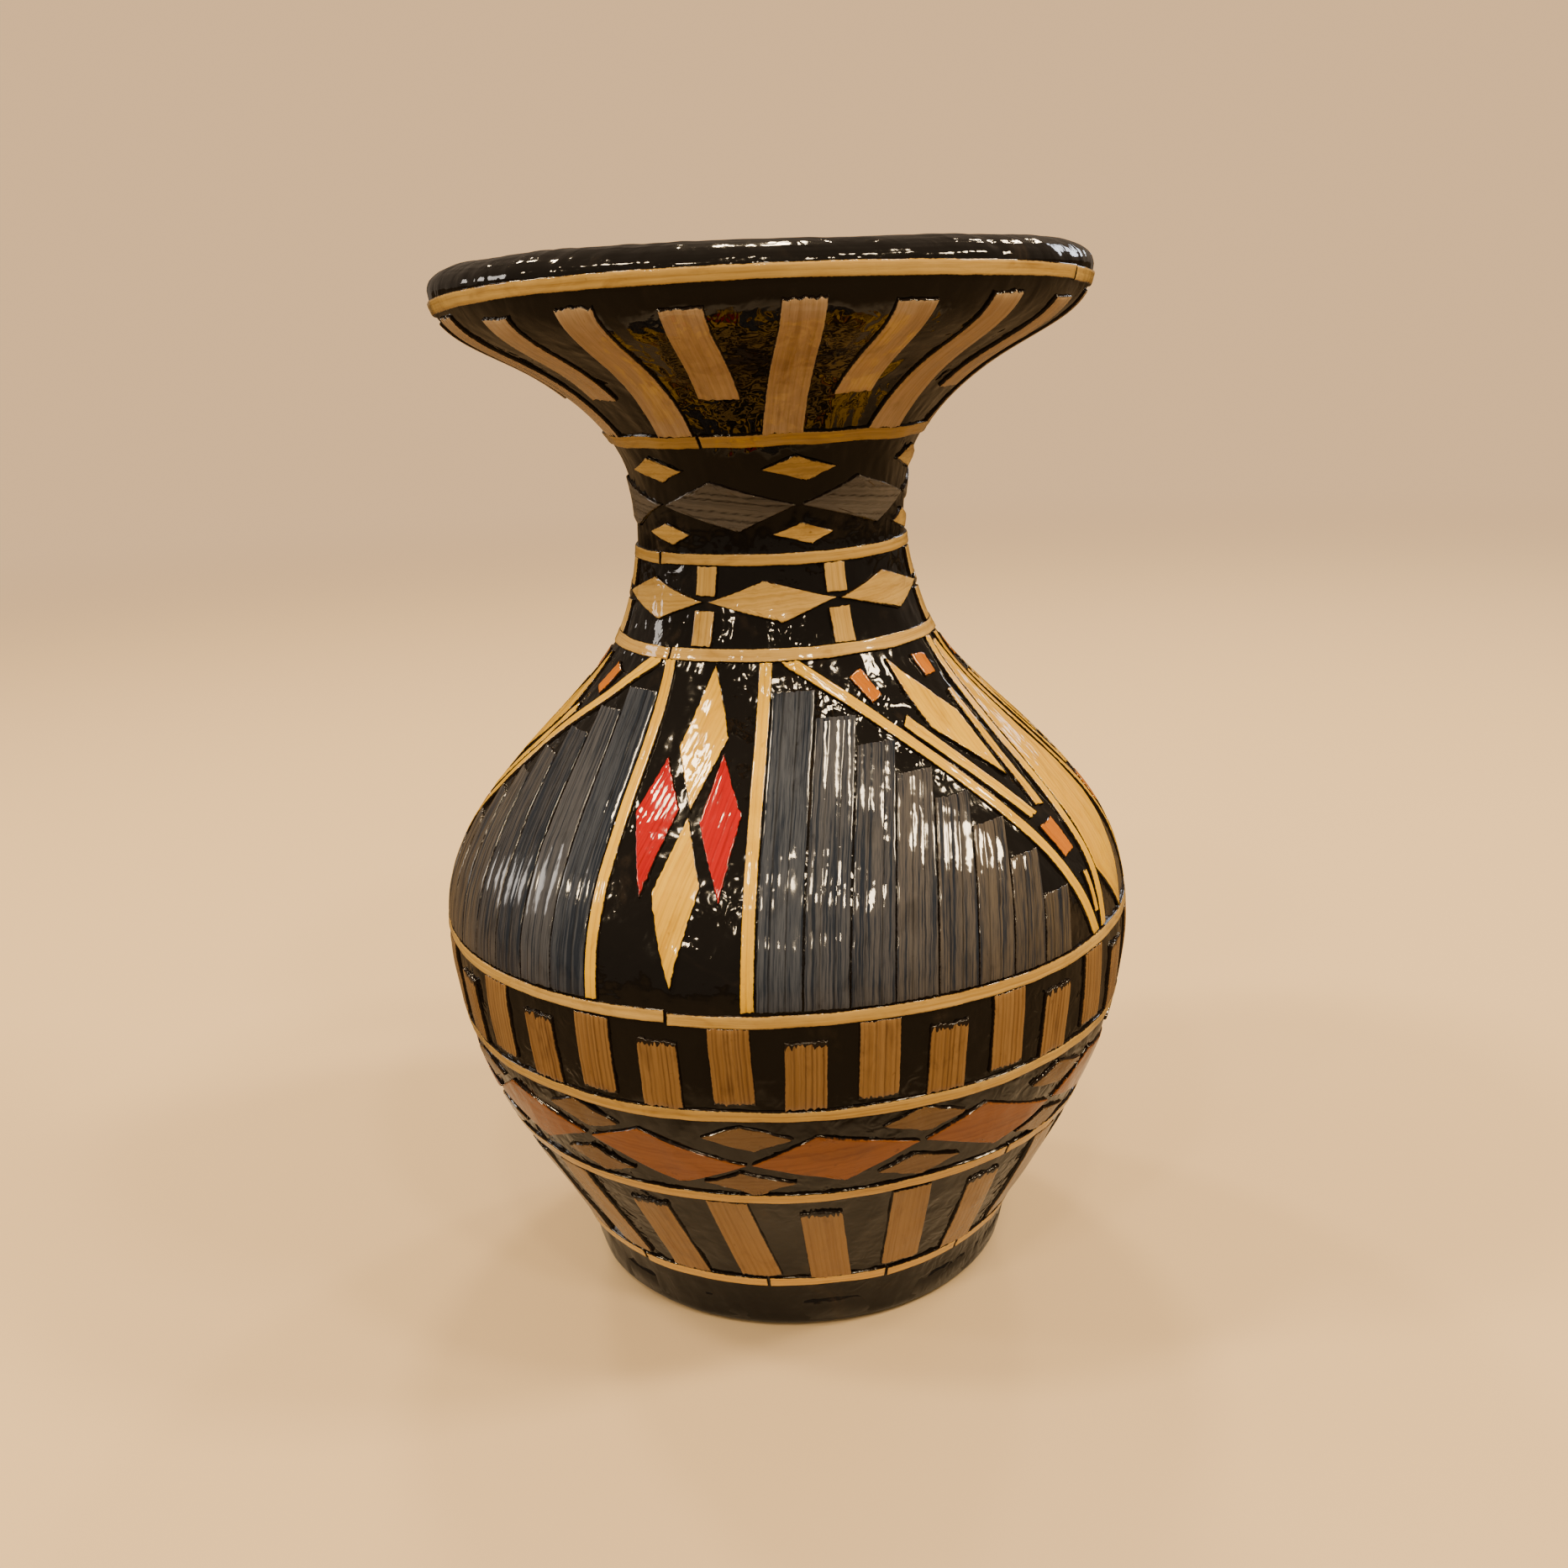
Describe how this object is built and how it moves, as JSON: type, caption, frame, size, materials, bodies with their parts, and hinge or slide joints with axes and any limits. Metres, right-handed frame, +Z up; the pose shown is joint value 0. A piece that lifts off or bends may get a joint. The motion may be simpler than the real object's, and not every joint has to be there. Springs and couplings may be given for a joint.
{
  "type": "straw marquetry vase",
  "caption": "Round clay vase with a narrow neck and a wide flared mouth, painted black and covered with bands of flattened, coloured straw marquetry under clear lacquer.",
  "frame": {"origin": "centre of the flat resting face, on the vase's axis", "axes": "+Z up along the axis of the vase towards the mouth; the front medallion lies about 19 degrees to the left of -Y, seen from -Y"},
  "size_m": [0.1412, 0.1412, 0.2045],
  "materials": {
    "black_ground": "gloss lacquer over black paint",
    "cream_straw": "natural flattened straw under gloss lacquer",
    "honey_straw": "ribbed golden straw under gloss lacquer",
    "orange_straw": "dyed orange straw under gloss lacquer",
    "red_straw": "dyed red straw under gloss lacquer",
    "grey_straw": "dyed slate grey straw under gloss lacquer",
    "taupe_straw": "dyed grey-brown straw under gloss lacquer"
  },
  "bodies": {
    "root": {"clay_pot": "black_ground", "rim_band": "cream_straw", "throat_ring": "cream_straw", "neck_ring": "cream_straw", "shoulder_ring": "cream_straw", "belly_ring": "cream_straw", "waist_ring": "cream_straw", "lower_ring": "cream_straw", "foot_ring": "cream_straw", "mouth_bars_long": "cream_straw", "mouth_bars_short": "cream_straw", "neck_lozenges_upper": "cream_straw", "neck_lozenges_grey": "taupe_straw", "neck_lozenges_lower": "cream_straw", "collar_lozenges": "cream_straw", "collar_tabs_upper": "cream_straw", "collar_tabs_lower": "cream_straw", "medallion_strips": "cream_straw", "medallion_lozenges_upper": "cream_straw", "medallion_lozenges_lower": "cream_straw", "medallion_lozenges_red": "red_straw", "grey_straws_1": "grey_straw", "grey_straws_2": "grey_straw", "grey_straws_3": "grey_straw", "grey_straws_4": "grey_straw", "grey_straws_5": "grey_straw", "grey_straws_6": "grey_straw", "grey_straws_7": "grey_straw", "grey_straws_8": "grey_straw", "arch_strips": "cream_straw", "chips_inner": "orange_straw", "chips_outer": "orange_straw", "chips_lower": "orange_straw", "shoulder_kites": "cream_straw", "fan_strips_inner": "cream_straw", "fan_strips_outer": "cream_straw", "splints": "cream_straw", "side_strips": "cream_straw", "side_leaves": "cream_straw", "belly_bars_hanging": "honey_straw", "belly_bars_standing": "honey_straw", "orange_lozenges": "orange_straw", "tan_lozenges_upper": "honey_straw", "tan_lozenges_lower": "honey_straw", "foot_bars_hanging": "honey_straw", "foot_bars_standing": "honey_straw"}
  },
  "joints": []
}
